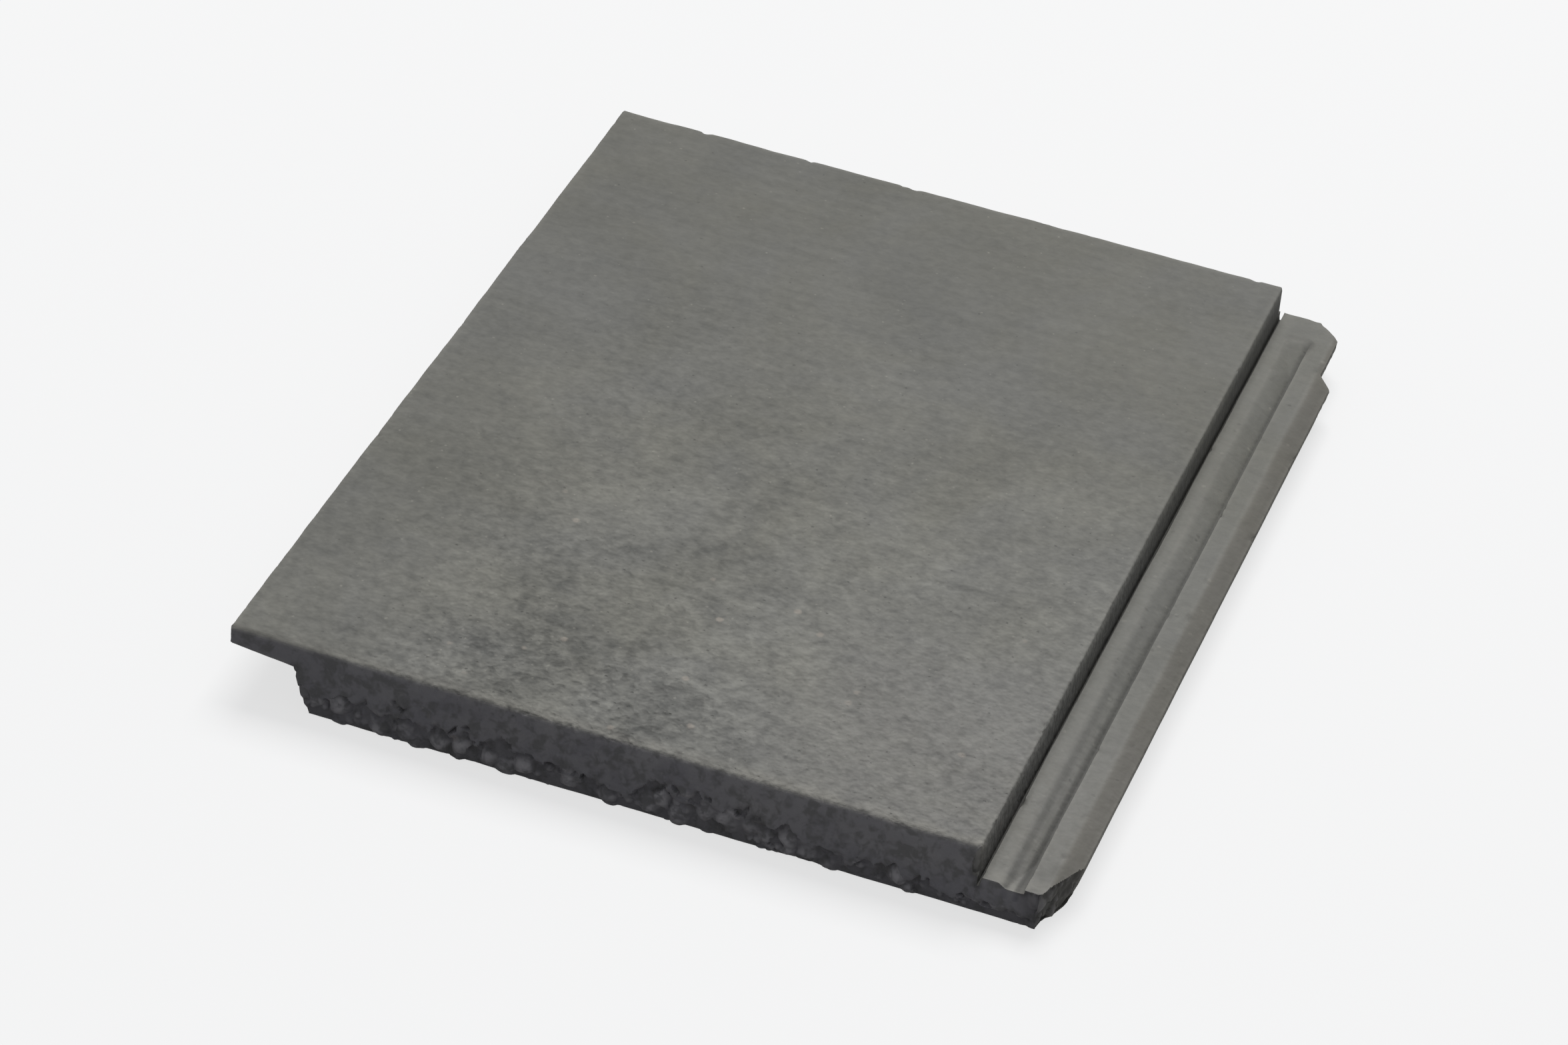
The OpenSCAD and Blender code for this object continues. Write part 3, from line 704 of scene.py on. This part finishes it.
    # Relief: clumps of sand stand 0.2 to 0.4 mm proud, their grains less, and pores and pits are sunk
    height = add_node(tree, "ShaderNodeMath", {0: grit, 1: 0.22, 2: grain}, operation="MULTIPLY_ADD")
    for field, share in ((quartz, 0.1), (stones, 0.3), (pores, -0.25), (torn_pit, -0.5)):
        height = add_node(tree, "ShaderNodeMath", {0: field, 1: share, 2: height}, operation="MULTIPLY_ADD")
    lift = add_node(tree, "ShaderNodeMapRange", {"Value": tailward, "To Min": 0.25, "To Max": 1.0})
    relief = add_node(tree, "ShaderNodeBump", {"Strength": lift, "Distance": 1 * MM, "Height": height})
    roughness = add_node(tree, "ShaderNodeMapRange", {
        "Value": blotch, "From Min": 0.3, "From Max": 0.7, "To Min": 0.72, "To Max": 0.86})
    shader = add_node(tree, "ShaderNodeBsdfPrincipled", {
        "Base Color": colour, "Roughness": roughness, "Normal": relief, "IOR": 1.5,
        "Specular IOR Level": 0.3})
    add_node(tree, "ShaderNodeOutputMaterial", {"Surface": shader})
    return material


# --- Operators ---


class ROOFTILE_OT_build_tile(Operator):
    """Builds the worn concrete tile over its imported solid"""

    bl_idname = "roof_tile.build_tile"
    bl_label = "Build Tile"

    def execute(self, context):
        shape = context.scene.roof_tile_shape
        points, faces, arrises = divided_arrays(NODE, FIRST_SQUARE)
        near = arris_tree(arrises, shape.fine_spacing)
        points, faces = refine(
            points, faces, lambda middles: tile_spacing(middles, near, shape), shape.fine_spacing)
        mesh = bpy.data.meshes.new("concrete_tile")
        mesh.from_pydata(points.tolist(), [], faces.tolist())
        mesh.validate()
        tile = bpy.data.objects.new("concrete_tile", mesh)
        context.scene.collection.objects.link(tile)
        wear_down(tile, shape, sanded_concrete(context.scene.roof_tile_finish))
        tile.data.shade_smooth()
        tile.data.set_sharp_from_angle(angle=SHARP_ANGLE)
        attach(tile, "root")
        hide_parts(NODE)
        print("tile mesh:", len(tile.data.polygons), "triangles")
        return {"FINISHED"}


class ROOFTILE_OT_build_stage(Operator):
    """Builds the floor, the lights and the camera"""

    bl_idname = "roof_tile.build_stage"
    bl_label = "Build Stage"

    def execute(self, context):
        stage = context.scene.roof_tile_stage
        scene = context.scene
        self.floor(scene)
        self.world(scene, stage)
        self.lamp(scene, "key", stage.key_power, KEY_SIZE, KEY_PLACE)
        self.camera(scene, stage)
        scene.view_settings.view_transform = "Standard"
        return {"FINISHED"}

    def seen_directly(self, tree):
        """Camera, glossy and transmission rays, which see the plain white background."""
        path = add_node(tree, "ShaderNodeLightPath").outputs
        seen = add_node(tree, "ShaderNodeMath", {
            0: path["Is Camera Ray"], 1: path["Is Glossy Ray"]}, operation="MAXIMUM")
        return add_node(tree, "ShaderNodeMath", {
            0: seen, 1: path["Is Transmission Ray"]}, operation="MAXIMUM")

    def floor(self, scene):
        mesh = bpy.data.meshes.new("floor")
        corners = [(x * FLOOR_REACH, y * FLOOR_REACH, 0) for x, y in ((-1, -1), (1, -1), (1, 1), (-1, 1))]
        mesh.from_pydata(corners, [], [(0, 1, 2, 3)])
        floor = bpy.data.objects.new("floor", mesh)
        scene.collection.objects.link(floor)
        material = bpy.data.materials.new("Pale Matt Floor")
        material.use_nodes = True
        tree = material.node_tree
        tree.nodes.clear()
        lit = add_node(tree, "ShaderNodeBsdfDiffuse", {"Color": linear("#f2f2f2")})
        glow = add_node(tree, "ShaderNodeEmission", {"Color": linear("#ffffff"), "Strength": 1.0})
        white = add_node(tree, "ShaderNodeMixShader", {0: 0.7, 1: lit, 2: glow})
        # What the tile itself receives from the floor is held back, as from a pale grey bench
        bench = add_node(tree, "ShaderNodeBsdfDiffuse", {"Color": linear("#8a8a8a")})
        surface = add_node(tree, "ShaderNodeMixShader", {0: self.seen_directly(tree), 1: bench, 2: white})
        add_node(tree, "ShaderNodeOutputMaterial", {"Surface": surface})
        mesh.materials.append(material)

    def world(self, scene, stage):
        world = bpy.data.worlds.new("Studio")
        scene.world = world
        world.use_nodes = True
        tree = world.node_tree
        tree.nodes.clear()
        even = add_node(tree, "ShaderNodeBackground", {"Color": linear("#f4f8ff"), "Strength": stage.fill})
        white = add_node(tree, "ShaderNodeBackground", {"Color": linear("#ffffff"), "Strength": 1.0})
        surface = add_node(tree, "ShaderNodeMixShader", {0: self.seen_directly(tree), 1: even, 2: white})
        add_node(tree, "ShaderNodeOutputWorld", {"Surface": surface})

    def lamp(self, scene, name, power, size, place):
        light = bpy.data.lights.new(name, "AREA")
        light.energy = power
        light.shape = "SQUARE"
        light.size = size
        lamp = bpy.data.objects.new(name, light)
        lamp.location = place
        lamp.rotation_euler = (-place).to_track_quat("-Z", "Y").to_euler()
        scene.collection.objects.link(lamp)

    def camera(self, scene, stage):
        camera = bpy.data.objects.new("camera", bpy.data.cameras.new("camera"))
        camera.data.lens = stage.lens
        camera.data.clip_end = FAR_CLIP
        place = Vector(stage.camera_place)
        ahead = (CAMERA_AIM - place).normalized()
        right = ahead.cross(CAMERA_UP).normalized()
        turned = Matrix((right, right.cross(ahead), -ahead)).transposed().to_4x4()
        camera.matrix_world = Matrix.Translation(place) @ turned
        scene.collection.objects.link(camera)
        scene.camera = camera


class ROOFTILE_PT_sidebar(Panel):
    """Lists the tile's sizes, colours and build buttons"""

    bl_label = "Roof Tile"
    bl_idname = "ROOFTILE_PT_sidebar"
    bl_space_type = "VIEW_3D"
    bl_region_type = "UI"
    bl_category = "Roof Tile"

    def draw(self, context):
        scene = context.scene
        for group in (scene.roof_tile_shape, scene.roof_tile_finish, scene.roof_tile_stage):
            box = self.layout.box()
            for name in group.__annotations__:
                box.prop(group, name)
        self.layout.operator(ROOFTILE_OT_build_tile.bl_idname)
        self.layout.operator(ROOFTILE_OT_build_stage.bl_idname)


CLASSES = (RoofTileShape, ConcreteFinish, StudioStage,
           ROOFTILE_OT_build_tile, ROOFTILE_OT_build_stage, ROOFTILE_PT_sidebar)


def register():
    for cls in CLASSES:
        bpy.utils.register_class(cls)
    bpy.types.Scene.roof_tile_shape = PointerProperty(type=RoofTileShape)
    bpy.types.Scene.roof_tile_finish = PointerProperty(type=ConcreteFinish)
    bpy.types.Scene.roof_tile_stage = PointerProperty(type=StudioStage)


def unregister():
    del bpy.types.Scene.roof_tile_stage
    del bpy.types.Scene.roof_tile_finish
    del bpy.types.Scene.roof_tile_shape
    for cls in reversed(CLASSES):
        bpy.utils.unregister_class(cls)


def main():
    register()
    bpy.ops.roof_tile.build_tile()
    bpy.ops.roof_tile.build_stage()


if __name__ == "__main__":
    main()
